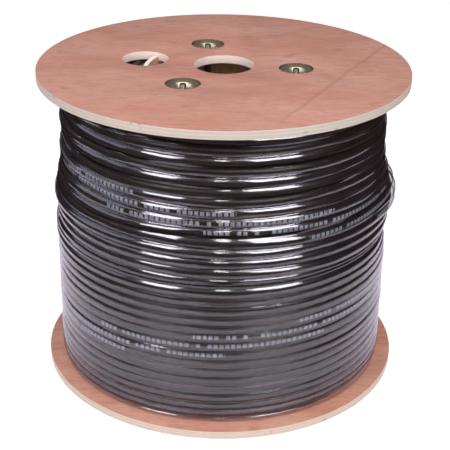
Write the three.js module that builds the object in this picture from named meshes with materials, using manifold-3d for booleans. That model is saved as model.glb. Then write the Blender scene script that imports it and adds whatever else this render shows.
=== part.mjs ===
// A full drum of black network cable: two plywood flanges clamped over a cardboard core by three tie
// rods, wound with cable and wrapped in clear stretch film. It stands on its lower flange.
// Millimetres, +Z up along the drum's axis, origin at the centre of the underside.
import * as THREE from "three";
import { mergeVertices } from "three/addons/utils/BufferGeometryUtils.js";
import Module from "manifold-3d";

const wasm = await Module();
wasm.setup();

// Flanges
const flangeRadius = 157.5;
const flangeThickness = 7;
const flangeEdgeBreak = 0.6;
const traverse = 256; // clear width between the flanges
const arborHoleRadius = 25.5;
const flangeSides = 60;

// Tie rods and the dished nuts that clamp the flanges on them
const rodRadius = 2.9;
const rodPitchRadius = 61;
const rodAngles = [104, -7, -122.5]; // degrees from +X
const rodEndSetback = 0.2; // a rod ends this far inside the flange's outer face
const rodEndBevel = 0.6;
const rodSides = 16;
const recessRadius = 14.6; // counterbore that takes a nut's rim
const recessDepth = 3;
const throatRadius = 10.6; // hole through the rest of the flange, for a nut's dish
const nutSheet = 1;
const nutRimClearance = 0.6;
const nutFloorRadius = 5.4;
const nutFloorSetback = 0.6; // the dish stops this far inside the flange's inner face
const nutSides = 20;

// Core tube
const coreWall = 4;

// Hole over the core's edge, where the inner end of the cable can be drawn out
const cableHoleRadius = 20;
const cableHoleAngle = 169;
const cableHoleSides = 32;

// Cable, and how far it fills the drum. Turns climb from the lower flange and come down from the upper
// one, until they meet.
const cableDiameter = 8;
const lowerTurns = 16;
const upperTurns = 15;
const meetingShare = 0.506; // of the traverse
const flangeLip = 12.9; // flange left bare outside the winding
const turnGroove = 3; // how deep the valley between two turns is
const turnShoulder = 0.3; // share of a turn's width from its valley to its crown
const thinnestTurn = 0.2; // share of its width at which a turn ends, where the next one squeezes it out
const layerRise = 0.93; // a layer's height as a share of the cable's diameter
const endGroove = 1.6; // how deep the layers show on the winding's ends
const windingSides = 30; // of the core, the winding and the film, which nest in each other

// How far the turns wander up and down: mm, waves per turn, phase
const lowerSway = [[0.19, 1.03, 3.42], [0.17, 2.05, 3.79], [0.16, 3.9, 0.41], [0.1, 0.23, 5.26]];
const upperSway = [
  [0.45, 1.04, 0.95], [0.43, 2.1, 0.45], [0.34, 3.3, 2.3], [0.22, 5.2, 3.19], [0.19, 0.31, 2.72],
];

// What is added to the winding's radius: share of the traverse, mm
const taper = [
  [0, 0], [0.461, 0], [0.559, 0.3], [0.645, -1.1], [0.699, -3.9], [0.754, -4.4], [0.797, -6.1], [0.848, -5.8],
  [1, -6.7],
];
const leftSwell = [
  [0, 0], [0.43, 0], [0.477, 1.9], [0.508, 1.6], [0.555, -1.8], [0.578, -0.7], [0.602, 1.3], [0.629, 1.4],
  [0.656, 0.8], [0.699, -1.4], [0.727, 0.3], [0.766, 0.2], [0.797, -2.2], [0.828, 0.3], [0.863, 0.3],
  [0.91, -2], [0.949, 0.6], [0.996, 0],
];
const looseFold = [
  [0, 0], [0.43, 0], [0.477, -1.7], [0.508, -1.3], [0.551, 0.8], [0.574, 3.3], [0.602, 5.9], [0.625, 6.7],
  [0.648, 6.6], [0.676, 4.6], [0.699, 1.4], [0.719, -0.9], [0.754, 0],
];
const leftBearing = -90; // degrees from -Y towards +X
const leftSpread = 36;
const foldBearing = 84;
const foldSpread = 15;
const foldCableShare = 0.55; // how much of the fold the cable under the film follows

// Stretch film
const filmThickness = 0.4;
const filmEndSetback = 1; // the film stops this far from the flanges
const filmPlainShares = [0.15, 0.29]; // rows below the swells, shares of the traverse
const filmDip = 0.6; // how far it dips between two turns of the upper winding
const looseReach = 0.3; // of a turn
// Deeper dips between loose turns: turns from the upper flange, mm
const looseDips = [
  [3.5, 1], [5.5, 1.4], [6.8, 1], [8.4, 1.2], [9.6, 1], [10.5, 1.2], [13.5, 1.6], [14.6, 0.9],
];

const fitGap = 0.3; // between pieces that seat in or on each other

// Sizes that follow from those above
const drumHeight = traverse + 2 * flangeThickness;
const flatShare = Math.cos(Math.PI / windingSides); // a side's nearest point to the axis, as a share
const coreInnerRadius = (rodPitchRadius + rodRadius + fitGap) / flatShare; // the rods centre the tube
const coreOuterRadius = coreInnerRadius + coreWall;
const windingBore = coreOuterRadius + fitGap;
const windingRadius = flangeRadius - flangeLip;
const windingBottom = flangeThickness + fitGap;
const windingTop = drumHeight - flangeThickness - fitGap;
const meetingHeight = flangeThickness + meetingShare * traverse;
const lowerPitch = (meetingHeight - windingBottom) / lowerTurns;
const upperPitch = (windingTop - meetingHeight) / upperTurns;
const filmBottom = flangeThickness + filmEndSetback;
const filmTop = drumHeight - flangeThickness - filmEndSetback;

const plywood = new THREE.MeshStandardMaterial({ color: 0xcb988a, roughness: 0.75, metalness: 0 });
const cardboard = new THREE.MeshStandardMaterial({ color: 0x966e50, roughness: 0.9, metalness: 0 });
const jacket = new THREE.MeshStandardMaterial({ color: 0x2a2322, roughness: 0.45, metalness: 0 });
const zinc = new THREE.MeshStandardMaterial({ color: 0xb6ab7d, roughness: 0.35, metalness: 0.9 });
const film = new THREE.MeshStandardMaterial({
  color: 0xd8dade,
  roughness: 0.15,
  metalness: 0,
  transparent: true,
  opacity: 0.25,
});

// A closed [radius, height] outline, run anticlockwise, turned about the Z axis.
function turned(outline, sides) {
  const points = [...outline, outline[0]].map(([radius, height]) => new THREE.Vector2(radius, height));
  return new THREE.LatheGeometry(points, sides).rotateX(Math.PI / 2);
}

// A solid round bar between two heights, for a rod or for boring a hole.
function bar(radius, low, high, sides, bevel = 0) {
  const points = [
    [0, low],
    [radius - bevel, low],
    [radius, low + bevel],
    [radius, high - bevel],
    [radius - bevel, high],
    [0, high],
  ];
  const kept = points.filter(([r, z], i) => i === 0 || r !== points[i - 1][0] || z !== points[i - 1][1]);
  const line = kept.map(([r, z]) => new THREE.Vector2(r, z));
  return new THREE.LatheGeometry(line, sides).rotateX(Math.PI / 2);
}

function toSolid(geometry) {
  const bare = geometry.clone().deleteAttribute("normal").deleteAttribute("uv");
  const merged = mergeVertices(bare, 1e-4);
  const corners = merged.index.array;
  const kept = [];
  for (let i = 0; i < corners.length; i += 3) {
    const [a, b, c] = corners.slice(i, i + 3);
    if (a !== b && b !== c && c !== a) kept.push(a, b, c);
  }
  return new wasm.Manifold(
    new wasm.Mesh({
      numProp: 3,
      vertProperties: new Float32Array(merged.attributes.position.array),
      triVerts: new Uint32Array(kept),
    }),
  );
}

function toGeometry(solid) {
  const mesh = solid.getMesh();
  const geometry = new THREE.BufferGeometry();
  geometry.setAttribute("position", new THREE.BufferAttribute(mesh.vertProperties, 3));
  geometry.setIndex(new THREE.BufferAttribute(mesh.triVerts, 1));
  geometry.computeVertexNormals();
  return geometry;
}

// The point on a circle about the drum's axis.
function onCircle(radius, degrees) {
  const angle = THREE.MathUtils.degToRad(degrees);
  return [radius * Math.cos(angle), radius * Math.sin(angle)];
}

const group = new THREE.Group();

function addPiece(name, geometry, material, parent = group) {
  const mesh = new THREE.Mesh(geometry, material);
  mesh.name = name;
  parent.add(mesh);
  return mesh;
}

// A plywood disc whose outer face is up. bored has the cable hole too.
function flangeGeometry(bored) {
  const disc = turned(
    [
      [arborHoleRadius, 0],
      [flangeRadius - flangeEdgeBreak, 0],
      [flangeRadius, flangeEdgeBreak],
      [flangeRadius, flangeThickness - flangeEdgeBreak],
      [flangeRadius - flangeEdgeBreak, flangeThickness],
      [arborHoleRadius, flangeThickness],
    ],
    flangeSides,
  );
  const through = [-1, flangeThickness + 1];
  let solid = toSolid(disc);
  for (const angle of rodAngles) {
    const [x, y] = onCircle(rodPitchRadius, angle);
    const throat = bar(throatRadius, ...through, nutSides).translate(x, y, 0);
    const recess = bar(recessRadius, flangeThickness - recessDepth, through[1], nutSides).translate(x, y, 0);
    solid = solid.subtract(toSolid(throat)).subtract(toSolid(recess));
  }
  if (bored) {
    const [x, y] = onCircle(coreOuterRadius, cableHoleAngle);
    const hole = bar(cableHoleRadius, ...through, cableHoleSides).translate(x, y, 0);
    solid = solid.subtract(toSolid(hole));
  }
  return toGeometry(solid);
}

// The lower flange is the same disc mirrored, so its recesses are underneath. It has no cable hole.
function addFlanges() {
  const top = addPiece("top_flange", flangeGeometry(true), plywood);
  top.position.z = drumHeight - flangeThickness;
  const underside = toSolid(flangeGeometry(false)).mirror([0, 0, 1]);
  const bottom = addPiece("bottom_flange", toGeometry(underside), plywood);
  bottom.position.z = flangeThickness;
}

function addCore() {
  const outline = [
    [coreInnerRadius, windingBottom],
    [coreOuterRadius, windingBottom],
    [coreOuterRadius, windingTop],
    [coreInnerRadius, windingTop],
  ];
  addPiece("core_tube", turned(outline, windingSides), cardboard);
}

// The dished nut, outer face up, with height 0 at the flange's outer face.
function nutGeometry() {
  const rimRadius = recessRadius - nutRimClearance;
  const rimUnder = fitGap - recessDepth;
  const rimTop = rimUnder + nutSheet;
  const dishRadius = throatRadius - fitGap;
  const floorUnder = nutFloorSetback - flangeThickness;
  const floorTop = floorUnder + nutSheet;
  const boreRadius = rodRadius + fitGap;
  return turned(
    [
      [boreRadius, floorUnder],
      [nutFloorRadius, floorUnder],
      [dishRadius, rimUnder],
      [rimRadius, rimUnder],
      [rimRadius, rimTop],
      [dishRadius - nutSheet / 2, rimTop],
      [nutFloorRadius - nutSheet / 2, floorTop],
      [boreRadius, floorTop],
    ],
    nutSides,
  );
}

function addRodsAndNuts() {
  rodAngles.forEach((angle, index) => {
    const [x, y] = onCircle(rodPitchRadius, angle);
    const set = new THREE.Group();
    set.position.set(x, y, 0);
    group.add(set);
    const rod = bar(rodRadius, rodEndSetback, drumHeight - rodEndSetback, rodSides, rodEndBevel);
    addPiece(`tie_rod_${index + 1}`, rod, zinc, set);
    const top = addPiece(`cup_nut_top_${index + 1}`, nutGeometry(), zinc, set);
    top.position.z = drumHeight;
    const bottom = addPiece(`cup_nut_bottom_${index + 1}`, nutGeometry(), zinc, set);
    bottom.rotation.x = Math.PI;
  });
}

// A table's value at a height.
function along(table, height) {
  const share = THREE.MathUtils.clamp((height - flangeThickness) / traverse, 0, 1);
  const next = table.findIndex(([at]) => at > share);
  if (next < 0) return table[table.length - 1][1];
  const [[low, first], [high, second]] = [table[next - 1], table[next]];
  return THREE.MathUtils.mapLinear(share, low, high, first, second);
}

// How strongly something at one bearing shows at another.
function nearness(bearing, centre, spread) {
  const apart = ((bearing - centre + 540) % 360) - 180;
  return Math.exp(-((apart / spread) ** 2));
}

// The winding's outer radius, or the one that the film wraps.
function radiusAt(height, bearing, foldShare) {
  const swell = along(leftSwell, height) * nearness(bearing, leftBearing, leftSpread);
  const fold = along(looseFold, height) * nearness(bearing, foldBearing, foldSpread);
  return windingRadius + along(taper, height) + swell + fold * (fold > 0 ? foldShare : 1);
}

// Height of the valley before a turn, kept between two heights. Turns count from their flange, from the
// back round by the left.
function valleyHeight(upper, turn, lowest, highest) {
  const [sway, count, pitch] = upper ? [upperSway, upperTurns, upperPitch] : [lowerSway, lowerTurns, lowerPitch];
  const free = THREE.MathUtils.clamp(turn - 1, 0, 1) * THREE.MathUtils.clamp(count + 1 - turn, 0, 1);
  const wave = ([size, rate, phase]) => size * Math.sin(2 * Math.PI * rate * turn + phase);
  const wander = sway.reduce((sum, part) => sum + wave(part), 0);
  const start = upper ? windingTop : windingBottom;
  const height = start + (upper ? -1 : 1) * pitch * (turn - 1) + free * wander;
  if (height < lowest + thinnestTurn * pitch) return lowest;
  if (height > highest - thinnestTurn * pitch) return highest;
  return height;
}

// One winding's rows of points at one place round the drum, upwards: each with the turn that it begins
// or ends, its height, whether it is in a valley, and how full its turn is.
function turnRows(upper, around, lowest, highest) {
  const count = upper ? upperTurns : lowerTurns;
  const rows = [];
  for (let whole = 0; whole <= count; whole += 1) {
    const turn = whole + around;
    const first = valleyHeight(upper, turn, lowest, highest);
    const second = valleyHeight(upper, turn + 1, lowest, highest);
    const full = Math.min(1, Math.abs(second - first) / (0.75 * (upper ? upperPitch : lowerPitch)));
    rows.push({ turn, height: first, valley: true, full });
    for (const share of [turnShoulder, 1 - turnShoulder]) {
      rows.push({ turn, height: first + (second - first) * share, valley: false, full });
    }
  }
  rows.push({ turn: count + 1 + around, height: meetingHeight, valley: true, full: 0 });
  return upper ? rows.reverse() : rows;
}

// The outer side at one place round the drum, turn by turn, from the bottom up.
function windingSide(around) {
  const bearing = 360 * around - 180;
  const rows = [
    ...turnRows(false, around, windingBottom, meetingHeight),
    ...turnRows(true, around, meetingHeight, windingTop),
  ];
  return rows.map(({ height, valley, full }) => {
    const sunk = valley ? turnGroove : turnGroove * (1 - full);
    return [radiusAt(height, bearing, foldCableShare) - sunk, height];
  });
}

// Like turned, with an outline for each place round the drum. All have the same number of points.
function turnedUnevenly(outlineAt) {
  const outlines = Array.from({ length: windingSides + 1 }, (_, column) => outlineAt(column / windingSides));
  const geometry = turned(outlines[0], windingSides);
  const position = geometry.attributes.position;
  const rows = outlines[0].length + 1;
  for (let i = 0; i < position.count; i += 1) {
    const column = Math.floor(i / rows);
    const [radius, height] = outlines[column][(i % rows) % outlines[0].length];
    const angle = Math.PI * ((2 * column) / windingSides - 1);
    position.setXYZ(i, radius * Math.sin(angle), -radius * Math.cos(angle), height);
  }
  return toGeometry(toSolid(geometry));
}

// The layers on one end, from the bore outwards, set in from the end between two layers.
function windingEnd(outerRadius, height, inward) {
  const layers = Math.round((outerRadius - windingBore) / (cableDiameter * layerRise));
  const layerPitch = (outerRadius - windingBore) / layers;
  const end = [[windingBore, height + inward * endGroove]];
  for (let layer = 0; layer < layers; layer += 1) {
    const crown = windingBore + (layer + 0.5) * layerPitch;
    end.push([crown, height]);
    if (layer < layers - 1) end.push([crown + layerPitch / 2, height + inward * endGroove]);
  }
  return end;
}

// All turns and layers as one ring. What lies inside it can't be seen.
function addWinding() {
  const low = windingEnd(radiusAt(windingBottom, 0, 0) - turnGroove, windingBottom, 1);
  const high = windingEnd(radiusAt(windingTop, 0, 0) - turnGroove, windingTop, -1).reverse();
  addPiece("cable_winding", turnedUnevenly((around) => [...low, ...windingSide(around), ...high]), jacket);
}

// How far the film dips in the valley before a turn of the upper winding.
function filmDipAt(turn) {
  const loose = looseDips.map(([at, depth]) => depth * Math.exp(-(((turn - at) / looseReach) ** 2)));
  return loose.reduce((sum, depth) => sum + depth, filmDip);
}

// One skin of the film at one place round the drum. Below the meeting of the windings it is stretched flat.
function filmSkin(around, offset) {
  const bearing = 360 * around - 180;
  const breaks = [...taper, ...leftSwell, ...looseFold].map(([share]) => share);
  const shares = [...new Set([...filmPlainShares, ...breaks])].filter((share) => share > 0 && share < meetingShare);
  const plain = [filmBottom, ...shares.sort((a, b) => a - b).map((share) => flangeThickness + share * traverse)];
  const skin = plain.map((height) => [radiusAt(height, bearing, 1) + offset, height]);
  for (const { turn, height, valley } of turnRows(true, around, meetingHeight, filmTop)) {
    const dips = valley && height > meetingHeight && height < filmTop;
    skin.push([radiusAt(height, bearing, 1) + offset - (dips ? filmDipAt(turn) : 0), height]);
  }
  return skin;
}

function addFilm() {
  const geometry = turnedUnevenly((around) => {
    const outside = filmSkin(around, fitGap + filmThickness);
    return [...outside, ...filmSkin(around, fitGap).reverse()];
  });
  addPiece("stretch_film", geometry, film);
}

addFlanges();
addCore();
addRodsAndNuts();
addWinding();
addFilm();

export default group;
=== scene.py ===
import math
import random

import bpy
import numpy as np
from mathutils import Euler, Matrix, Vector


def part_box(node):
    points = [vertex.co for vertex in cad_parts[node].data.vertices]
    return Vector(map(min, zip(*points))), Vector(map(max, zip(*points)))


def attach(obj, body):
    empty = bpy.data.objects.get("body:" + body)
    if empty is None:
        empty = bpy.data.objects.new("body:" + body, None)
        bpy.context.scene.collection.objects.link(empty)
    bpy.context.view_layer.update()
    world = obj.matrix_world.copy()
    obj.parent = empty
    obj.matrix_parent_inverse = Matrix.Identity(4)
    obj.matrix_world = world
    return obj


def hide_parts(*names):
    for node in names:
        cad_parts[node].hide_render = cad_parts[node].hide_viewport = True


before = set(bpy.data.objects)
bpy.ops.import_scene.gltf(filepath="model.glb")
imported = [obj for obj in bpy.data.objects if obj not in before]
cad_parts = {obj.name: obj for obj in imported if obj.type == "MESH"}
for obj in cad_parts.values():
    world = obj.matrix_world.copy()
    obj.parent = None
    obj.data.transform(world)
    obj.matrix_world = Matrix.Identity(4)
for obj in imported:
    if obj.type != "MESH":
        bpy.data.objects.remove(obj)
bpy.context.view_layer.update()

mm = 0.001


# Shared helpers
def pick(obj):
    for other in bpy.context.selected_objects:
        other.select_set(False)
    obj.select_set(True)
    bpy.context.view_layer.objects.active = obj


def applyModifiers(obj):
    pick(obj)
    for modifier in list(obj.modifiers):
        bpy.ops.object.modifier_apply(modifier=modifier.name)


def settle(obj, name):
    pick(obj)
    bpy.ops.object.transform_apply(location=True, rotation=True, scale=True)
    obj.name = obj.data.name = name
    return obj


def cleanMesh(obj, gap=1e-6, closeEnds=False):
    pick(obj)
    bpy.ops.object.mode_set(mode="EDIT")
    bpy.ops.mesh.select_all(action="SELECT")
    bpy.ops.mesh.remove_doubles(threshold=gap)
    if closeEnds:
        bpy.ops.mesh.select_all(action="SELECT")
        bpy.ops.mesh.fill_holes(sides=0)
        bpy.ops.mesh.select_all(action="SELECT")
    bpy.ops.mesh.normals_make_consistent(inside=False)
    bpy.ops.object.mode_set(mode="OBJECT")


def smooth(obj, degrees=None):
    pick(obj)
    if degrees is None:
        bpy.ops.object.shade_smooth()
    else:
        bpy.ops.object.shade_smooth_by_angle(angle=math.radians(degrees))


def turned(name, outline, sides, centre=(0.0, 0.0)):
    x, y = centre
    radius, height = outline[0]
    bpy.ops.mesh.primitive_circle_add(vertices=sides, radius=radius, location=(x, y, height))
    obj = bpy.context.object
    pick(obj)
    bpy.ops.object.mode_set(mode="EDIT")
    bpy.ops.mesh.select_all(action="SELECT")
    for nextRadius, nextHeight in outline[1:] + outline[:1]:
        bpy.ops.mesh.extrude_region_move(TRANSFORM_OT_translate={"value": (0, 0, nextHeight - height)})
        grow = nextRadius / radius
        bpy.ops.transform.resize(value=(grow, grow, 1), center_override=(x, y, nextHeight))
        radius, height = nextRadius, nextHeight
    bpy.ops.object.mode_set(mode="OBJECT")
    settle(obj, name)
    cleanMesh(obj)
    return obj


def seat(obj, slotName, *nodes):
    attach(obj, "root")
    if nodes:
        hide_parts(*nodes)


def boxOf(name):
    low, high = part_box(name)
    return [float(v) for v in low], [float(v) for v in high]


def centreOf(name):
    low, high = boxOf(name)
    return ((low[0] + high[0]) / 2, (low[1] + high[1]) / 2)


# Material helpers
def node(tree, kind, inputs=None, **settings):
    made = tree.nodes.new(kind)
    for key, value in settings.items():
        setattr(made, key, value)
    for key, value in (inputs or {}).items():
        socket = made.inputs[key]
        if isinstance(value, bpy.types.NodeSocket):
            tree.links.new(value, socket)
        else:
            socket.default_value = value
    return made


def newMaterial(name):
    material = bpy.data.materials.new(name)
    material.use_nodes = True
    material.node_tree.nodes.clear()
    return material, material.node_tree


def finishMaterial(material, tree, shader):
    node(tree, "ShaderNodeOutputMaterial", {"Surface": shader})
    return material


def dress(obj, material):
    obj.data.materials.clear()
    obj.data.materials.append(material)


def calc(tree, operation, first, second=0.0, third=0.0):
    made = node(tree, "ShaderNodeMath", {0: first, 1: second, 2: third}, operation=operation)
    return made.outputs[0]


def vectorCalc(tree, operation, first, second=(0, 0, 0)):
    made = node(tree, "ShaderNodeVectorMath", {0: first, 1: second}, operation=operation)
    return made.outputs["Value"]


def blendColour(tree, share, first, second, mode="MIX"):
    made = node(tree, "ShaderNodeMix", {"Factor": share}, data_type="RGBA", blend_type=mode)
    for socket, value in ((made.inputs[6], first), (made.inputs[7], second)):
        if isinstance(value, bpy.types.NodeSocket):
            tree.links.new(value, socket)
        else:
            socket.default_value = (*value, 1.0)
    return made.outputs[2]


def grain(tree, vector, scale, stretch=(1, 1, 1), detail=3.0, roughness=0.5, turn=(0, 0, 0)):
    spread = node(tree, "ShaderNodeMapping", {"Vector": vector, "Scale": stretch, "Rotation": turn})
    made = node(
        tree, "ShaderNodeTexNoise",
        {"Vector": spread.outputs[0], "Scale": scale, "Detail": detail, "Roughness": roughness},
    )
    return made.outputs[0]


def band(tree, value, low, high, outLow=0.0, outHigh=1.0):
    made = node(
        tree, "ShaderNodeMapRange",
        {"Value": value, "From Min": low, "From Max": high, "To Min": outLow, "To Max": outHigh},
    )
    return made.outputs[0]


def bumpOf(tree, height, strength, distance):
    made = node(tree, "ShaderNodeBump", {"Height": height, "Strength": strength, "Distance": distance})
    return made.outputs[0]


def objectPlace(tree):
    place = node(tree, "ShaderNodeTexCoord").outputs["Object"]
    return place, node(tree, "ShaderNodeSeparateXYZ", {0: place}).outputs


def upwardOf(tree):
    facing = node(tree, "ShaderNodeNewGeometry").outputs["Normal"]
    return node(tree, "ShaderNodeSeparateXYZ", {0: facing}).outputs[2]


# Camera and lights, as the photo was taken
camera = dict(
    lens=94.72,
    sensor=36,
    place=(0.00293, -0.96012, 0.57653),
    tilt=64.57,
    roll=0.89,
)


def setCamera():
    data = bpy.data.cameras.new("camera")
    data.lens = camera["lens"]
    data.sensor_width = camera["sensor"]
    obj = bpy.data.objects.new("camera", data)
    bpy.context.collection.objects.link(obj)
    obj.location = camera["place"]
    tilt, roll = math.radians(camera["tilt"]), math.radians(camera["roll"])
    turn = Euler((tilt, 0, 0)).to_matrix() @ Matrix.Rotation(roll, 3, "Z")
    obj.rotation_euler = turn.to_euler()
    bpy.context.scene.camera = obj


studio = dict(
    # Name, bearing from the camera's side, height angle, distance, width, height, power, colour
    # and the kind of ray that it lights
    boxes=[
        ("leftShine", -40, 30, 1.5, 0.58, 1.15, 26, (0.93, 1.0, 0.97), "glossy"),
        ("rightShine", 35, 30, 1.5, 0.84, 1.15, 39, (0.93, 1.0, 0.97), "glossy"),
        ("lampShine", 1, 33, 1.3, 0.17, 0.60, 4, (0.86, 1.0, 0.84), "glossy"),
        ("leftGlow", -88, 25, 1.4, 1.20, 1.20, 7.0, (0.78, 0.90, 1.0), "glossy"),
        ("highShine", 0, 80, 1.4, 1.60, 1.40, 11, (1.0, 0.97, 0.88), "glossy"),
        ("leftFill", -44, 42, 1.5, 0.60, 0.80, 5.0, (1.0, 0.98, 0.98), "diffuse"),
        ("rightFill", 35, 42, 1.5, 0.80, 0.80, 6.0, (1.0, 0.98, 0.98), "diffuse"),
        ("frontFill", -4, 30, 1.5, 0.80, 0.60, 4.5, (1.0, 0.97, 0.95), "diffuse"),
        ("topFill", 175, 82, 1.4, 1.30, 1.10, 4.6, (1.0, 0.99, 0.97), "diffuse"),
    ],
    aimHeight=0.14,
    ambient=(0.45, 0.45, 0.45),
    ambientSeen=(0.062, 0.048, 0.058),
    floorColour=(0.95, 0.95, 0.95),
    floorGlow=0.42,
    floorReach=6.0,
    darkFrom=0.40,
    ringHeights=(0.001, 0.002),
    ringColour=(0.034, 0.022, 0.018),
    cardAside=0.01,
    cardHeight=0.0005,
    cardSize=(0.10, 0.155, 1.0),
    cardFade=(0.35, 1.0),
    cardColour=(0.30, 0.26, 0.25),
)


def setLights():
    aim = np.array([0, 0, studio["aimHeight"]])
    for name, bearing, rise, distance, width, tall, power, colour, kind in studio["boxes"]:
        data = bpy.data.lights.new(name, "AREA")
        data.shape = "RECTANGLE"
        data.size, data.size_y = width, tall
        data.energy = power
        data.color = colour
        obj = bpy.data.objects.new(name, data)
        bpy.context.collection.objects.link(obj)
        across, up = math.radians(bearing), math.radians(rise)
        way = np.array([math.sin(across) * math.cos(up), -math.cos(across) * math.cos(up), math.sin(up)])
        obj.location = aim + distance * way
        obj.rotation_euler = (math.pi / 2 - up, 0, across)
        obj.visible_camera = False
        obj.visible_diffuse = kind != "glossy"
        obj.visible_glossy = kind != "diffuse"
    world = bpy.data.worlds.new("studio")
    bpy.context.scene.world = world
    world.use_nodes = True
    tree = world.node_tree
    tree.nodes.clear()
    glossy = node(tree, "ShaderNodeLightPath").outputs["Is Glossy Ray"]
    shade = blendColour(tree, glossy, studio["ambient"], studio["ambientSeen"])
    glow = node(tree, "ShaderNodeBackground", {"Color": shade})
    node(tree, "ShaderNodeOutputWorld", {"Surface": glow.outputs[0]})
    bpy.context.scene.view_settings.view_transform = "Standard"


def setFloor():
    reach = studio["floorReach"]
    bpy.ops.mesh.primitive_plane_add(size=2 * reach, location=(0, 0, 0))
    floor = settle(bpy.context.object, "floor")
    material, tree = newMaterial("paperFloor")
    paper = node(tree, "ShaderNodeBsdfDiffuse", {"Color": (*studio["floorColour"], 1)})
    glow = node(tree, "ShaderNodeEmission", {"Color": (1, 1, 1, 1), "Strength": studio["floorGlow"]})
    shader = node(tree, "ShaderNodeAddShader", {0: paper.outputs[0], 1: glow.outputs[0]})
    dress(floor, finishMaterial(material, tree, shader.outputs[0]))
    # A dark ring past the lit paper and a grey card before the camera, which only reflections see
    near, (low, high) = studio["darkFrom"], studio["ringHeights"]
    ring = turned("darkRing", [(near, low), (reach, low), (reach, high), (near, high)], 96)
    cardPlace, cardSize = (studio["cardAside"], -near, studio["cardHeight"]), studio["cardSize"]
    bpy.ops.mesh.primitive_circle_add(vertices=48, radius=1, fill_type="NGON", location=cardPlace)
    bpy.context.object.scale = cardSize
    card = settle(bpy.context.object, "greyCard")
    for obj, colour in ((ring, studio["ringColour"]), (card, studio["cardColour"])):
        material, tree = newMaterial(obj.name)
        shader = node(tree, "ShaderNodeBsdfDiffuse", {"Color": (*colour, 1)}).outputs[0]
        if obj == card:
            spot = node(
                tree, "ShaderNodeMapping",
                {"Vector": objectPlace(tree)[0], "Scale": [1 / size for size in cardSize],
                 "Location": [-where / size for where, size in zip(cardPlace, cardSize)]},
            )
            middle = vectorCalc(tree, "LENGTH", spot.outputs[0])
            clear = node(tree, "ShaderNodeBsdfTransparent").outputs[0]
            fade = band(tree, middle, *studio["cardFade"])
            shader = node(tree, "ShaderNodeMixShader", {0: fade, 1: shader, 2: clear}).outputs[0]
        dress(obj, finishMaterial(material, tree, shader))
        obj.visible_camera = False
        obj.visible_diffuse = False
        obj.visible_shadow = False
        obj.visible_transmission = False


# Plywood
plywood = dict(
    upperFrom=0.135,
    upperFoot=0.263,
    pink=(0.545, 0.275, 0.218),
    red=(0.470, 0.190, 0.135),
    pale=(0.640, 0.370, 0.300),
    pore=(0.300, 0.130, 0.095),
    edgePale=(0.640, 0.520, 0.450),
    edgeGrey=(0.520, 0.415, 0.370),
    edgeGlue=(0.290, 0.180, 0.135),
    # Painted light: a much paler tone for the hole walls near the axis
    holeLitWall=(0.970, 0.800, 0.730),
    # Painted shade: a dark brown for the walls of the rod recesses
    bored=(0.075, 0.045, 0.032),
    mottle=(0.400, 0.140, 0.095),
    # Painted light: the lower flange's face is made lighter by this factor
    lowerFaceLight=(1.18, 1.20, 1.12),
    # Painted shade: the upper flange's sawn edge is made darker by this factor
    upperEdgeShade=(0.84, 0.88, 0.90),
    # Noises: scale, stretch, detail, roughness and turn
    blotch=(17, (0.7, 1.25, 1), 3, 0.55),
    streak=(45, (0.35, 1.3, 1), 4, 0.65, (0, 0, 0.10)),
    fine=(230, (0.24, 1.5, 1), 5, 0.75, (0, 0, 0.06)),
    pores=(420, (0.22, 1.6, 1), 2, 0.5, (0, 0, 0.05)),
    patchy=(75, (0.45, 1.1, 1), 4, 0.7, (0, 0, 0.4)),
    knots=(38, (0.8, 1.3, 1), 2, 0.5),
    fibres=(300, (1, 1, 3.0), 3, 0.6),
    spots=(85, (1, 1, 2.2), 2, 0.5),
    # How much of each tone a noise or a distance mixes in
    redBand=(0.38, 0.70, 0, 0.85),
    paleBand=(0.48, 0.80, 0, 0.40),
    mottleBand=(0.50, 0.64, 0, 0.55),
    patchBand=(0.58, 0.68, 0, 0.45),
    poreBand=(0.60, 0.70, 0, 0.50),
    jointBand=(0.0006, 0.0022, 1, 0),
    scribeBand=(0.0002, 0.0008, 1, 0),
    knotBand=(0.69, 0.74),
    fibreBand=(0.45, 0.75, 0, 0.35),
    spotBand=(0.70, 0.74, 0, 0.75),
    holeLightBand=(0.40, 0.75, 0, 0.30),
    levelBand=(0.6, 0.85),
    markShare=0.42,
    jointStart=(0.141, 0.059),
    jointEnd=(0.052, -0.118),
    jointFrom=(0.040, 0.055),
    jointWander=(0.006, -0.003),
    scribeRadius=0.049,
    scribeSeen=(0.45, 0.62),
    scribeShare=0.7,
    ply=0.0014,
    plyShare=0.55,
    glueLine=0.10,
    glueShare=0.40,
    insideRadius=0.12,
    roughness=(0.52, 0.70),
    fineRelief=0.6,
    poreRelief=-0.4,
    bump=(0.35, 0.0004),
    specular=0.32,
)


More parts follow.
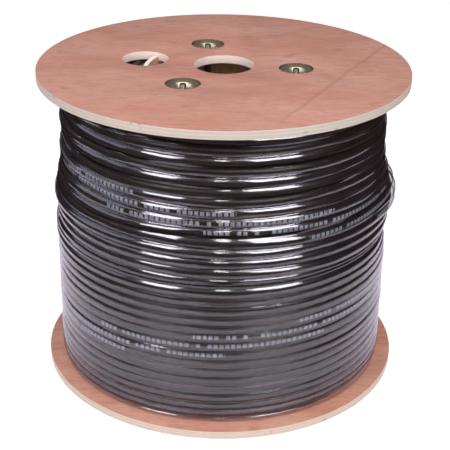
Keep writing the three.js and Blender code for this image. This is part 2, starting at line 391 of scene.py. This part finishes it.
def plywoodMaterial():
    material, tree = newMaterial("plywood")
    place, (x, y, height) = objectPlace(tree)
    upper = calc(tree, "GREATER_THAN", height, plywood["upperFrom"])
    layer = calc(tree, "SUBTRACT", height, calc(tree, "MULTIPLY", upper, plywood["upperFoot"]))
    # Rotary-cut veneer: blotches, long streaks and short dark pores along X
    blotch = grain(tree, place, *plywood["blotch"])
    streak = grain(tree, place, *plywood["streak"])
    fine = grain(tree, place, *plywood["fine"])
    pores = grain(tree, place, *plywood["pores"])
    patchy = grain(tree, place, *plywood["patchy"])
    tone = blendColour(tree, band(tree, blotch, *plywood["redBand"]), plywood["pink"], plywood["red"])
    tone = blendColour(tree, band(tree, streak, *plywood["paleBand"]), tone, plywood["pale"])
    tone = blendColour(tree, band(tree, fine, *plywood["mottleBand"]), tone, plywood["mottle"])
    tone = blendColour(tree, band(tree, patchy, *plywood["patchBand"]), tone, plywood["mottle"])
    face = blendColour(tree, band(tree, pores, *plywood["poreBand"]), tone, plywood["pore"])
    # The upper veneer's joint, a scribed circle round the arbor hole and a few knots
    (ax, ay), (bx, by) = plywood["jointStart"], plywood["jointEnd"]
    long = math.hypot(bx - ax, by - ay)
    offset = (ay * (bx - ax) - ax * (by - ay)) / long
    away = calc(tree, "MULTIPLY_ADD", x, (by - ay) / long, offset)
    away = calc(tree, "MULTIPLY_ADD", y, -(bx - ax) / long, away)
    away = calc(tree, "ADD", away, calc(tree, "MULTIPLY_ADD", streak, *plywood["jointWander"]))
    joint = band(tree, calc(tree, "ABSOLUTE", away), *plywood["jointBand"])
    joint = calc(tree, "MULTIPLY", joint, band(tree, x, *plywood["jointFrom"]))
    joint = calc(tree, "MULTIPLY", joint, upper)
    flat = node(tree, "ShaderNodeCombineXYZ", {0: x, 1: y}).outputs[0]
    reach = vectorCalc(tree, "LENGTH", flat)
    offScribe = calc(tree, "ABSOLUTE", calc(tree, "SUBTRACT", reach, plywood["scribeRadius"]))
    scribe = band(tree, offScribe, *plywood["scribeBand"])
    scribe = calc(tree, "MULTIPLY", scribe, band(tree, blotch, *plywood["scribeSeen"]))
    knots = band(tree, grain(tree, place, *plywood["knots"]), *plywood["knotBand"])
    marks = calc(tree, "MAXIMUM", joint, calc(tree, "MULTIPLY", scribe, plywood["scribeShare"]))
    marks = calc(tree, "MAXIMUM", marks, knots)
    face = blendColour(tree, calc(tree, "MULTIPLY", marks, plywood["markShare"]), face, plywood["pore"])
    # Painted light: the lower flange's face is made lighter, to offset the shade the winding casts on it
    litLowerFace = blendColour(tree, 1.0, face, plywood["lowerFaceLight"], "MULTIPLY")
    face = blendColour(tree, upper, litLowerFace, face)
    # Sawn edge: five plies with thin glue lines
    ply = calc(tree, "DIVIDE", layer, plywood["ply"])
    which = calc(tree, "MODULO", calc(tree, "FLOOR", ply), 2)
    fibres = grain(tree, place, *plywood["fibres"])
    spots = grain(tree, place, *plywood["spots"])
    which = calc(tree, "MULTIPLY", which, plywood["plyShare"])
    edge = blendColour(tree, which, plywood["edgePale"], plywood["edgeGrey"])
    edge = blendColour(tree, band(tree, fibres, *plywood["fibreBand"]), edge, plywood["edgeGrey"])
    glue = calc(tree, "LESS_THAN", calc(tree, "FRACT", ply), plywood["glueLine"])
    edge = blendColour(tree, calc(tree, "MULTIPLY", glue, plywood["glueShare"]), edge, plywood["edgeGlue"])
    edge = blendColour(tree, band(tree, spots, *plywood["spotBand"]), edge, plywood["edgeGlue"])
    # Painted shade: the upper flange's sawn edge is made darker than the lower one's
    edge = blendColour(tree, upper, edge, blendColour(tree, 1.0, edge, plywood["upperEdgeShade"], "MULTIPLY"))
    # Painted light: edge surfaces within insideRadius of the axis, the hole walls, get a much paler tone
    # standing in for light they lack, broken up by the fibre grain
    pale = band(tree, fibres, *plywood["holeLightBand"])
    inner = blendColour(tree, pale, plywood["holeLitWall"], plywood["edgePale"])
    edge = blendColour(tree, calc(tree, "LESS_THAN", reach, plywood["insideRadius"]), edge, inner)
    # Painted shade: the walls of the rod recesses are painted dark brown
    for number in (1, 2, 3):
        near = vectorCalc(tree, "DISTANCE", flat, (*centreOf(f"tie_rod_{number}"), 0))
        recess = calc(tree, "LESS_THAN", near, hardware["recessRadius"] + mm)
        edge = blendColour(tree, recess, edge, plywood["bored"])
    level = calc(tree, "ABSOLUTE", upwardOf(tree))
    colour = blendColour(tree, band(tree, level, *plywood["levelBand"]), edge, face)
    rough = band(tree, fine, 0.3, 0.7, *plywood["roughness"])
    relief = calc(tree, "MULTIPLY", pores, plywood["poreRelief"])
    relief = calc(tree, "ADD", calc(tree, "MULTIPLY", fine, plywood["fineRelief"]), relief)
    shader = node(
        tree, "ShaderNodeBsdfPrincipled",
        {"Base Color": colour, "Roughness": rough, "Normal": bumpOf(tree, relief, *plywood["bump"]),
         "Specular IOR Level": plywood["specular"]},
    )
    return finishMaterial(material, tree, shader.outputs[0])


flange = dict(
    sides=192, holeSides=96, recessSides=64, edgeSoft=0.0006, softFrom=50, smoothBelow=35, cutPast=0.002,
    weld=1e-7,
)
hardware = dict(recessRadius=14.6 * mm, throatRadius=10.6 * mm, recessDepth=3 * mm)
holes = dict(arborRadius=25.5 * mm, cableRadius=20 * mm, cableCentre=(-67.29 * mm, 13.08 * mm))


def bore(obj, radius, centre, low, high, sides):
    x, y = centre
    bpy.ops.mesh.primitive_cylinder_add(
        vertices=sides, radius=radius, depth=high - low, location=(x, y, (low + high) / 2))
    cutter = bpy.context.object
    cut = obj.modifiers.new("bore", "BOOLEAN")
    cut.object = cutter
    cut.operation = "DIFFERENCE"
    cut.solver = "EXACT"
    applyModifiers(obj)
    bpy.data.objects.remove(cutter)


def makeFlange(name, recessUp, withCableHole, material):
    low, high = boxOf(name)
    radius = (high[0] - low[0]) / 2
    bpy.ops.mesh.primitive_cylinder_add(
        vertices=flange["sides"], radius=radius, depth=high[2] - low[2],
        location=(0, 0, (low[2] + high[2]) / 2))
    disc = settle(bpy.context.object, name + "_plywood")
    under, over = low[2] - flange["cutPast"], high[2] + flange["cutPast"]
    bore(disc, holes["arborRadius"], (0, 0), under, over, flange["holeSides"])
    if withCableHole:
        bore(disc, holes["cableRadius"], holes["cableCentre"], under, over, flange["holeSides"])
    for number in (1, 2, 3):
        centre = centreOf(f"tie_rod_{number}")
        bore(disc, hardware["throatRadius"], centre, under, over, flange["recessSides"])
        floor, mouth = high[2] - hardware["recessDepth"], over
        if not recessUp:
            floor, mouth = under, low[2] + hardware["recessDepth"]
        bore(disc, hardware["recessRadius"], centre, floor, mouth, flange["recessSides"])
    soft = disc.modifiers.new("soft", "BEVEL")
    soft.width = flange["edgeSoft"]
    soft.segments = 2
    soft.limit_method = "ANGLE"
    soft.angle_limit = math.radians(flange["softFrom"])
    applyModifiers(disc)
    cleanMesh(disc, flange["weld"])
    smooth(disc, flange["smoothBelow"])
    dress(disc, material)
    seat(disc, "plywood", name)


# Core tube
board = dict(
    light=(0.60, 0.38, 0.21),
    dark=(0.47, 0.28, 0.15),
    seam=(0.16, 0.08, 0.045),
    cutEnd=(0.86, 0.76, 0.68),
    seamRise=0.11,
    seamWidth=0.014,
    seamShare=0.6,
    fibre=(260, (1, 1, 0.5), 4, 0.6),
    darkBand=(0.35, 0.7),
    levelBand=(0.6, 0.8),
    roughness=(0.75, 0.92),
    bump=(0.3, 0.0004),
)
core = dict(
    inner=64.6 * mm, wall=4 * mm, soft=0.5 * mm, sides=160, letIn=4.2 * mm, holeGap=0.3 * mm, smoothBelow=40,
)


def boardMaterial():
    material, tree = newMaterial("coreBoard")
    place, (x, y, height) = objectPlace(tree)
    around = calc(tree, "DIVIDE", calc(tree, "ARCTAN2", y, x), 2 * math.pi)
    wind = calc(tree, "ADD", around, calc(tree, "DIVIDE", height, board["seamRise"]))
    seam = calc(tree, "LESS_THAN", calc(tree, "FRACT", wind), board["seamWidth"])
    fibre = grain(tree, place, *board["fibre"])
    colour = blendColour(tree, band(tree, fibre, *board["darkBand"]), board["light"], board["dark"])
    colour = blendColour(tree, calc(tree, "MULTIPLY", seam, board["seamShare"]), colour, board["seam"])
    colour = blendColour(tree, band(tree, upwardOf(tree), *board["levelBand"]), colour, board["cutEnd"])
    rough = band(tree, fibre, 0.3, 0.7, *board["roughness"])
    shader = node(
        tree, "ShaderNodeBsdfPrincipled",
        {"Base Color": colour, "Roughness": rough, "Normal": bumpOf(tree, fibre, *board["bump"])},
    )
    return finishMaterial(material, tree, shader.outputs[0])


def makeCore(material):
    low, high = boxOf("core_tube")
    inner, soft = core["inner"], core["soft"]
    outer = inner + core["wall"]
    outline = [
        (inner, low[2] + soft), (inner + soft, low[2]), (outer - soft, low[2]), (outer, low[2] + soft),
        (outer, high[2] - soft), (outer - soft, high[2]), (inner + soft, high[2]), (inner, high[2] - soft),
    ]
    tube = turned("core_tube_board", outline, core["sides"])
    # Its end is let into the flange, which only shows inside the cable hole
    x, y = holes["cableCentre"]
    for vertex in tube.data.vertices:
        apart = math.hypot(vertex.co.x - x, vertex.co.y - y)
        if vertex.co.z > high[2] - 2 * soft and apart < holes["cableRadius"] - core["holeGap"]:
            vertex.co.z += core["letIn"]
    smooth(tube, core["smoothBelow"])
    dress(tube, material)
    seat(tube, "core_board", "core_tube")


# Dished nuts and tie rods
zinc = dict(
    # Three tones for each: the plating, its worn patches and dull specks
    nuts=((0.80, 0.68, 0.43), (0.70, 0.65, 0.50), (0.46, 0.31, 0.21)),
    rods=((0.20, 0.18, 0.15), (0.15, 0.15, 0.14), (0.08, 0.06, 0.05)),
    cloud=(120, (1, 1, 1), 3, 0.5),
    speck=(900, (1, 1, 1), 3, 0.6),
    silverBand=(0.35, 0.65),
    dullBand=(0.55, 0.8, 0, 0.5),
    roughness=(0.28, 0.40),
    bump=(0.15, 0.0002),
    metallic=0.97,
)


def zincMaterial(name, yellow, silver, dull):
    material, tree = newMaterial(name)
    place = objectPlace(tree)[0]
    cloud = grain(tree, place, *zinc["cloud"])
    speck = grain(tree, place, *zinc["speck"])
    colour = blendColour(tree, band(tree, cloud, *zinc["silverBand"]), yellow, silver)
    colour = blendColour(tree, band(tree, speck, *zinc["dullBand"]), colour, dull)
    shader = node(
        tree, "ShaderNodeBsdfPrincipled",
        {"Base Color": colour, "Roughness": band(tree, speck, 0.3, 0.8, *zinc["roughness"]),
         "Normal": bumpOf(tree, speck, *zinc["bump"]), "Metallic": zinc["metallic"]},
    )
    return finishMaterial(material, tree, shader.outputs[0])


cupNut = dict(
    rim=14.0 * mm, sheet=1.0 * mm, dish=10.3 * mm, floor=5.4 * mm, bore=3.2 * mm,
    rimUnder=2.7 * mm, floorUnder=6.4 * mm, lean=0.35, soft=0.3 * mm, bowlSteps=9, sides=64, smoothBelow=40,
)


def nutOutline():
    s = cupNut
    inside, outside = [], []
    for step in range(s["bowlSteps"] + 1):
        share = step / s["bowlSteps"]
        curve = 0.5 - 0.5 * math.cos(math.pi * share)
        radius = s["floor"] + (s["dish"] - s["floor"]) * share
        depth = s["floorUnder"] + (s["rimUnder"] - s["floorUnder"]) * curve
        outside.append((radius, -depth))
        inside.append((radius - s["lean"] * s["sheet"], s["sheet"] - depth))
    rim, soft = s["rim"], s["soft"]
    edge = [
        (rim - soft, -s["rimUnder"]), (rim, soft - s["rimUnder"]),
        (rim, s["sheet"] - s["rimUnder"] - soft), (rim - soft, s["sheet"] - s["rimUnder"]),
    ]
    neck = [(s["bore"], s["sheet"] - s["floorUnder"]), (s["bore"], -s["floorUnder"])]
    return outside + edge + inside[::-1] + neck


def makeNuts(material):
    top = boxOf("top_flange")[1][2]
    for number in (1, 2, 3):
        centre = centreOf(f"tie_rod_{number}")
        for side, base, sign in (("top", top, 1), ("bottom", 0.0, -1)):
            name = f"cup_nut_{side}_{number}"
            outline = [(radius, base + sign * height) for radius, height in nutOutline()]
            nut = turned(name + "_pressed", outline, cupNut["sides"], centre)
            smooth(nut, cupNut["smoothBelow"])
            dress(nut, material)
            seat(nut, "zinc_steel", name)


rod = dict(
    radius=2.9 * mm, threadDepth=0.42 * mm, threadPitch=1.0 * mm, threads=16, rootAt=0.1, crestAt=0.6,
    point=0.00001, tipSoft=0.3 * mm, sides=24, smoothBelow=35, weld=5e-5,
)


def makeRods(material):
    for number in (1, 2, 3):
        name = f"tie_rod_{number}"
        low, high = boxOf(name)
        outer, inner = rod["radius"], rod["radius"] - rod["threadDepth"]
        ends = []
        for turn in range(rod["threads"]):
            ends.append((inner, (turn + rod["rootAt"]) * rod["threadPitch"]))
            ends.append((outer, (turn + rod["crestAt"]) * rod["threadPitch"]))
        tip = [(rod["point"], 0.0), (inner - rod["tipSoft"], 0.0)]
        upward = [(radius, low[2] + height) for radius, height in tip + ends]
        downward = [(radius, high[2] - height) for radius, height in tip + ends][::-1]
        bar = turned(name + "_threaded", upward + downward, rod["sides"], centreOf(name))
        cleanMesh(bar, rod["weld"])
        smooth(bar, rod["smoothBelow"])
        dress(bar, material)
        seat(bar, "zinc_steel", name)


# The winding: two helices, the lower one rising and the upper one coming down from the top
wound = dict(
    cableRadius=3.95 * mm,
    low=7.3 * mm,
    high=262.7 * mm,
    split=136.54 * mm,
    lowerTurns=16,
    upperTurns=15,
    columns=236,
    filmClear=0.25 * mm,
    lowerWander=0.28 * mm,
    upperWander=0.62 * mm,
    lowerSwell=0.22 * mm,
    upperSwell=0.50 * mm,
    endSag=1.3 * mm,
    endBelow=0.97,
)
# Heights in mm with the film's outer radius, and with what the left and right sides add to it
windingShape = [
    (0, 145.3), (125, 145.3), (150, 145.6), (172, 144.2), (186, 141.4), (200, 140.9),
    (211, 139.2), (224, 139.5), (270, 138.6),
]
leftShape = [
    (118, 0.0), (129, 1.9), (137, 1.6), (149, -1.8), (155, -0.7), (161, 1.3), (168, 1.4), (175, 0.8),
    (186, -1.4), (193, 0.3), (203, 0.2), (211, -2.2), (219, 0.3), (228, 0.3), (240, -2.0), (250, 0.6),
    (262, 0.0),
]
rightShape = [
    (116, 0.0), (129, -1.7), (137, -1.3), (148, 0.8), (154, 3.3), (161, 5.9), (167, 6.7), (173, 6.6),
    (180, 4.6), (186, 1.4), (191, -0.9), (200, 0.0),
]
sides = dict(leftBearing=-90, leftSpread=36, rightBearing=84, rightSpread=15)
# How far the film dips between turns, in mm, and how sharply it bends there
dips = dict(
    lower=0.52, lowerMore=0.34, lowerUneven=0.13, lowerLimits=(0.36, 1.0), lowerSharp=1.8,
    upper=0.62, upperUneven=0.62, upperLimits=(0.10, 1.7), upperSharp=(1.5, 3.2), sharpLimits=(2.0, 5.5),
    looseSpread=0.30,
)
# Deep valleys between loose turns: turns from the top, depth in mm
looseValleys = [
    (3.5, 1.0), (5.5, 1.4), (6.8, 1.0), (8.4, 1.2), (9.6, 1.0), (10.5, 1.2), (13.5, 1.6), (14.6, 0.9),
]


def onSide(bearing, name):
    apart = (np.degrees(bearing) - sides[name + "Bearing"] + 180) % 360 - 180
    return np.exp(-(apart / sides[name + "Spread"]) ** 2)


def profile(height, table):
    heights, values = zip(*table)
    return np.interp(height / mm, heights, values) * mm


def foldLift(height, bearing):
    return profile(height, rightShape) * onSide(bearing, "right")


def outerRadius(height, bearing):
    left = profile(height, leftShape) * onSide(bearing, "left")
    return profile(height, windingShape) + left + foldLift(height, bearing)


def waver(seed, rates):
    chance = random.Random(seed)
    terms = [(chance.uniform(0.6, 1.0) / (1 + 0.25 * index), rate, chance.uniform(0, 6.28))
             for index, rate in enumerate(rates)]

    def at(turn):
        return sum(size * np.sin(2 * math.pi * rate * turn + phase) for size, rate, phase in terms)
    return at


lowerShift = waver(3, (1.03, 2.05, 3.9, 0.23))
upperShift = waver(7, (1.04, 2.1, 3.3, 5.2, 0.31))
lowerProud = waver(11, (0.21, 1.4, 2.7))
upperProud = waver(13, (0.37, 1.31, 2.6, 4.4))
lowerDip = waver(17, (0.41, 1.7, 3.1))
upperDip = waver(19, (0.43, 1.6, 2.9, 5.1))


class Helix:
    def __init__(self, rising):
        self.rising = rising
        self.turns = wound["lowerTurns"] if rising else wound["upperTurns"]
        reach = (wound["split"] - wound["low"]) if rising else (wound["high"] - wound["split"])
        self.pitch = reach / self.turns
        self.bands = self.turns + 1

    def valley(self, turn):
        step = self.pitch * (turn - 1)
        free = np.clip(turn - 1, 0, 1) * np.clip(self.turns + 1 - turn, 0, 1)
        if self.rising:
            height = wound["low"] + step + wound["lowerWander"] * free * lowerShift(turn)
            return np.clip(height, wound["low"], wound["split"])
        height = wound["high"] - step + wound["upperWander"] * free * upperShift(turn)
        return np.clip(height, wound["split"], wound["high"])

    def width(self, turn):
        return np.abs(self.valley(turn + 1) - self.valley(turn))

    def middle(self, turn):
        return (self.valley(turn + 1) + self.valley(turn)) / 2

    def fill(self, turn):
        return np.clip(self.width(turn) / self.pitch, 0, 1)

    def crown(self, turn):
        proud = wound["upperSwell"] * upperProud(turn)
        if self.rising:
            proud = wound["lowerSwell"] * lowerProud(turn)
        fill = self.fill(turn)
        sag = wound["endSag"] * np.sin(math.pi * fill) * (fill < wound["endBelow"])
        return outerRadius(self.middle(turn), 2 * math.pi * turn - math.pi) + proud - sag

    def dip(self, turn):
        if self.rising:
            deeper = dips["lowerMore"] * np.clip(1 - (turn - 1) / self.turns, 0, 1)
            depth = dips["lower"] + deeper + dips["lowerUneven"] * lowerDip(turn)
            return mm * np.clip(depth, *dips["lowerLimits"])
        depth = np.clip(dips["upper"] + dips["upperUneven"] * upperDip(turn), *dips["upperLimits"])
        for where, extra in looseValleys:
            depth = depth + extra * np.exp(-((turn - where) / dips["looseSpread"]) ** 2)
        return mm * depth

    def sharpness(self, turn):
        if self.rising:
            return dips["lowerSharp"]
        least, more = dips["upperSharp"]
        return np.clip(least + more * self.dip(turn) / mm, *dips["sharpLimits"])


lower, upper = Helix(True), Helix(False)


# Film
creases = dict(
    count=170, seed=5, upperShare=0.75, size=0.46 * mm, lowerSize=0.5, radiusAt=0.14,
    # Heights, lengths and widths in mm, the slope's spread in degrees, and the share of the size
    upperHeights=(140, 258), lowerHeights=(14, 140), lengths=(16, 70), widths=(1.1, 2.3), slope=8,
    shares=(0.3, 1.0), bow=0.004,
)
wrap = dict(
    rowShares=(0.0, 0.07, 0.22, 0.50, 0.78, 0.93),
    skin=0.10 * mm,
    weld=2e-5,
    ripple=(60, (1, 1, 6.0), 3, 0.5),
    finer=(260, (1, 1, 4.0), 2, 0.5),
    finerShare=0.12,
    bump=(0.16, 0.0009),
    clear=(0.96, 0.95, 0.95, 1),
    shine=(0.80, 0.73, 0.86, 1),
    roughness=0.12,
    # Share of the shine seen face on, what is added at the edge, and how fast that falls off
    faceShine=0.057,
    edgeShine=0.86,
    edgePower=5.0,
)


def creaseLift(bearing, height):
    chance = random.Random(creases["seed"])
    lift = np.zeros_like(height)
    radius = profile(creases["radiusAt"], windingShape)
    for _ in range(creases["count"]):
        high = chance.random() < creases["upperShare"]
        middle = chance.uniform(*creases["upperHeights" if high else "lowerHeights"]) * mm
        where = chance.uniform(-math.pi, math.pi)
        slope = math.radians(chance.gauss(0, creases["slope"]))
        length = chance.uniform(*creases["lengths"]) * mm
        wide = chance.uniform(*creases["widths"]) * mm
        tall = creases["size"] * chance.uniform(*creases["shares"]) * (1 if high else creases["lowerSize"])
        across = (bearing - where + math.pi) % (2 * math.pi) - math.pi
        s, z = across * radius, height - middle
        along = s * math.cos(slope) + z * math.sin(slope)
        off = -s * math.sin(slope) + z * math.cos(slope) + creases["bow"] * (along / length) ** 2
        lift += tall * np.exp(-(off / wide) ** 2) * np.clip(1 - (along / length) ** 2, 0, 1)
    return lift


def filmRow(helix, index, share, turnShare):
    turn = index + turnShare
    first, second = helix.valley(turn), helix.valley(turn + 1)
    height = first + (second - first) * share
    crown = helix.crown(turn)
    near = turn if share < 0.5 else turn + 1
    other = helix.crown(turn - 1 if share < 0.5 else turn + 1)
    floor = np.minimum(crown, other) - helix.dip(near)
    return height, crown - (crown - floor) * abs(2 * share - 1) ** helix.sharpness(near)


def gridShares(mesh):
    flat = np.zeros(len(mesh.vertices) * 3)
    mesh.vertices.foreach_get("co", flat)
    flat = flat.reshape(-1, 3)
    return (flat[:, 0] + 1) / 2, (flat[:, 1] + 1) / 2


def placeAll(mesh, places):
    mesh.vertices.foreach_set("co", places.ravel())
    mesh.update()


def makeFilm(material):
    shares = wrap["rowShares"]
    rows = [(lower, turn, share) for turn in range(lower.bands) for share in shares]
    rows += [(upper, turn, share) for turn in reversed(range(upper.bands)) for share in (1.0, *shares[:0:-1])]
    rows.append((upper, 0, 0.0))
    columns = wound["columns"]
    bearing = np.linspace(-math.pi, math.pi, columns + 1)
    turnShare = (bearing + math.pi) / (2 * math.pi)
    heights = np.zeros((len(rows), columns + 1))
    radii = np.zeros_like(heights)
    for index, (helix, turn, share) in enumerate(rows):
        heights[index], radii[index] = filmRow(helix, turn, share, turnShare)
    bearings = np.broadcast_to(bearing, heights.shape)
    radii = radii + creaseLift(bearings, heights)
    bpy.ops.mesh.primitive_grid_add(x_subdivisions=columns, y_subdivisions=len(rows) - 1, size=2)
    film = bpy.context.object
    across, rise = gridShares(film.data)
    column = np.rint(across * columns).astype(int)
    row = np.rint(rise * (len(rows) - 1)).astype(int)
    radius, height, angle = radii[row, column], heights[row, column], bearing[column]
    placeAll(film.data, np.stack([radius * np.sin(angle), -radius * np.cos(angle), height], 1))
    settle(film, "stretch_film_wrap")
    cleanMesh(film, wrap["weld"])
    wall = film.modifiers.new("wall", "SOLIDIFY")
    wall.thickness = wrap["skin"]
    wall.offset = -1
    applyModifiers(film)
    smooth(film)
    dress(film, material)
    seat(film, "stretch_film", "stretch_film")


def filmMaterial():
    material, tree = newMaterial("stretchFilm")
    place = objectPlace(tree)[0]
    ripple = grain(tree, place, *wrap["ripple"])
    finer = grain(tree, place, *wrap["finer"])
    relief = calc(tree, "ADD", ripple, calc(tree, "MULTIPLY", finer, wrap["finerShare"]))
    bump = bumpOf(tree, relief, *wrap["bump"])
    clear = node(tree, "ShaderNodeBsdfTransparent", {"Color": wrap["clear"]})
    shine = node(
        tree, "ShaderNodeBsdfAnisotropic",
        {"Color": wrap["shine"], "Roughness": wrap["roughness"], "Normal": bump},
    )
    facing = node(tree, "ShaderNodeLayerWeight", {"Blend": 0.5, "Normal": bump}).outputs["Facing"]
    facing = calc(tree, "POWER", facing, wrap["edgePower"])
    share = calc(tree, "MULTIPLY_ADD", facing, wrap["edgeShine"], wrap["faceShine"])
    mixed = node(tree, "ShaderNodeMixShader", {0: share, 1: clear.outputs[0], 2: shine.outputs[0]})
    return finishMaterial(material, tree, mixed.outputs[0])


# Cable
cable = dict(
    stepsPerTurn=120,
    sides=10,
    start=0.55,
    endSink=7 * mm,
    foldShare=0.45,
    lapRadius=0.1412,
    underSteps=72,
    underSides=8,
    underDrop=6.9 * mm,
    underRise=8.2 * mm,
    endSteps=96,
    layerStep=7.5 * mm,
    coreGap=0.4 * mm,
    hiddenLow=0.128,
    hiddenHigh=0.124,
    weld=1e-5,
    smoothBelow=50,
    # First marks: bearing in degrees and lap
    lowerMarks=(-43, 9),
    upperMarks=(-40, 9),
)
jacket = dict(
    black=(0.013, 0.008, 0.009),
    greyBlack=(0.021, 0.014, 0.014),
    mark=(0.44, 0.50, 0.62),
    marksRepeat=0.972,
    marksLength=0.195,
    markHalfWidth=0.074,
    markStep=4.6 * mm,
    markShare=0.70,
    leftOutShare=0.10,
    tickStep=1.1 * mm,
    tickLeast=0.50,
    cloud=(60, (1, 1, 1), 3, 0.5),
    scuff=(700, (1, 1, 1), 3, 0.6),
    greyBand=(0.35, 0.65),
    scuffBand=(0.30, 0.60, 0.35, 0.9),
    roughness=(0.26, 0.38),
    specular=0.18,
)


def tubeMesh(name, along, around, places, outward, radius, travel):
    bpy.ops.mesh.primitive_grid_add(x_subdivisions=along, y_subdivisions=around, size=2)
    tube = bpy.context.object
    mesh = tube.data
    forward, side = gridShares(mesh)
    step = np.rint(forward * along).astype(int)
    turn = 2 * math.pi * (side - 0.5)
    upward = np.array([0.0, 0.0, 1.0])
    placed = places[step] + radius * (np.cos(turn)[:, None] * outward[step] + np.sin(turn)[:, None] * upward)
    uv = np.zeros(len(mesh.loops) * 2)
    mesh.uv_layers[0].data.foreach_get("uv", uv)
    uv = uv.reshape(-1, 2)
    uv[:, 0] = travel[0] + uv[:, 0] * (travel[1] - travel[0])
    mesh.uv_layers[0].data.foreach_set("uv", uv.ravel())
    mesh.uv_layers[0].name = "alongCable"
    placeAll(mesh, placed)
    return settle(tube, name)


def outwardAt(bearing):
    return np.stack([np.sin(bearing), -np.cos(bearing), np.zeros_like(bearing)], 1)


def helixTube(name, helix, firstMark):
    radius = wound["cableRadius"]
    start, stop = cable["start"], helix.bands - 1.0
    steps = int((stop - start) * cable["stepsPerTurn"])
    turn = np.linspace(start, stop, steps + 1)
    bearing = 2 * math.pi * turn - math.pi
    sink = cable["endSink"] * (1 - helix.fill(turn))
    height = np.clip(helix.middle(turn), wound["low"] + radius, wound["high"] - radius)
    centre = helix.crown(turn) - radius - wound["filmClear"] - sink
    centre = centre - cable["foldShare"] * np.clip(foldLift(height, bearing), 0, None)
    outward = outwardAt(bearing)
    places = outward * centre[:, None]
    places[:, 2] = height
    lap = 2 * math.pi * cable["lapRadius"]
    travel = ((start - firstMark) * lap, (stop - firstMark) * lap)
    return tubeMesh(name, steps, cable["sides"], places, outward, radius, travel)


def ringTube(centre, height, steps):
    outward = outwardAt(np.linspace(0, 2 * math.pi, steps + 1))
    places = outward * centre
    places[:, 2] = height
    return tubeMesh("ring", steps, cable["underSides"], places, outward, wound["cableRadius"], (0.5, 0.5))


def turnAt(bearing, lap):
    return lap + (bearing + 180) / 360


def makeCable(material):
    radius = wound["cableRadius"]
    pieces = [
        helixTube("lowerTurns", lower, turnAt(*cable["lowerMarks"])),
        helixTube("upperTurns", upper, turnAt(*cable["upperMarks"])),
    ]
    # The layer beneath shows between loose turns
    height = wound["low"] + radius
    while height < wound["high"] - radius:
        centre = float(profile(height, windingShape)) - radius - cable["underDrop"]
        pieces.append(ringTube(centre, height, cable["underSteps"]))
        height += cable["underRise"]
    # The uppermost turn of each inner layer shows through the cable hole
    inside = core["inner"] + core["wall"] + cable["coreGap"]
    centre = inside + radius
    while centre < cable["hiddenLow"]:
        pieces.append(ringTube(centre, wound["high"] - radius, cable["endSteps"]))
        centre += cable["layerStep"]
    # All that is never seen
    low, high = wound["low"] + 2 * mm, wound["high"] - 2 * radius
    outline = [(inside, low), (cable["hiddenLow"], low), (cable["hiddenHigh"], high), (inside, high)]
    hidden = turned("hiddenTurns", outline, cable["endSteps"])
    hidden.data.uv_layers.new(name="alongCable")
    pieces.append(hidden)
    for piece in pieces:
        cleanMesh(piece, cable["weld"], True)
    pick(pieces[0])
    for piece in pieces:
        piece.select_set(True)
    bpy.ops.object.join()
    turns = settle(bpy.context.object, "cable_turns")
    smooth(turns, cable["smoothBelow"])
    dress(turns, material)
    seat(turns, "cable_jacket", "cable_winding")


def jacketMaterial():
    material, tree = newMaterial("cableJacket")
    place = objectPlace(tree)[0]
    uv = node(tree, "ShaderNodeUVMap", uv_map="alongCable").outputs[0]
    travel, side = node(tree, "ShaderNodeSeparateXYZ", {0: uv}).outputs[:2]
    # Plain tick marks, repeated about every metre
    repeat = calc(tree, "FRACT", calc(tree, "DIVIDE", travel, jacket["marksRepeat"]))
    marked = calc(tree, "LESS_THAN", repeat, jacket["marksLength"] / jacket["marksRepeat"])
    off = calc(tree, "ABSOLUTE", calc(tree, "SUBTRACT", side, 0.5))
    marked = calc(tree, "MULTIPLY", marked, calc(tree, "LESS_THAN", off, jacket["markHalfWidth"]))
    cell = calc(tree, "DIVIDE", travel, jacket["markStep"])
    bar = calc(tree, "LESS_THAN", calc(tree, "FRACT", cell), jacket["markShare"])
    whole = calc(tree, "FLOOR", cell)
    chance = node(tree, "ShaderNodeTexWhiteNoise", {"W": whole}, noise_dimensions="1D").outputs[0]
    kept = calc(tree, "GREATER_THAN", chance, jacket["leftOutShare"])
    tick = calc(tree, "FLOOR", calc(tree, "DIVIDE", travel, jacket["tickStep"]))
    shade = node(tree, "ShaderNodeTexWhiteNoise", {"W": tick}, noise_dimensions="1D").outputs[0]
    bar = calc(tree, "MULTIPLY", bar, band(tree, shade, 0, 1, jacket["tickLeast"], 1.0))
    mark = calc(tree, "MULTIPLY", marked, calc(tree, "MULTIPLY", bar, kept))
    scuff = grain(tree, place, *jacket["scuff"])
    mark = calc(tree, "MULTIPLY", mark, band(tree, scuff, *jacket["scuffBand"]))
    cloud = grain(tree, place, *jacket["cloud"])
    black = blendColour(tree, band(tree, cloud, *jacket["greyBand"]), jacket["black"], jacket["greyBlack"])
    colour = blendColour(tree, mark, black, jacket["mark"])
    rough = band(tree, scuff, 0.3, 0.7, *jacket["roughness"])
    shader = node(
        tree, "ShaderNodeBsdfPrincipled",
        {"Base Color": colour, "Roughness": rough, "Specular IOR Level": jacket["specular"]},
    )
    return finishMaterial(material, tree, shader.outputs[0])


setCamera()
setLights()
setFloor()
print("stage ready")
wood = plywoodMaterial()
makeFlange("top_flange", True, True, wood)
makeFlange("bottom_flange", False, False, wood)
print("flanges cut")
makeCore(boardMaterial())
makeNuts(zincMaterial("yellowZinc", *zinc["nuts"]))
makeRods(zincMaterial("dullZinc", *zinc["rods"]))
print("core, nuts and rods turned")
makeCable(jacketMaterial())
print("cable wound")
makeFilm(filmMaterial())
print("film wrapped")
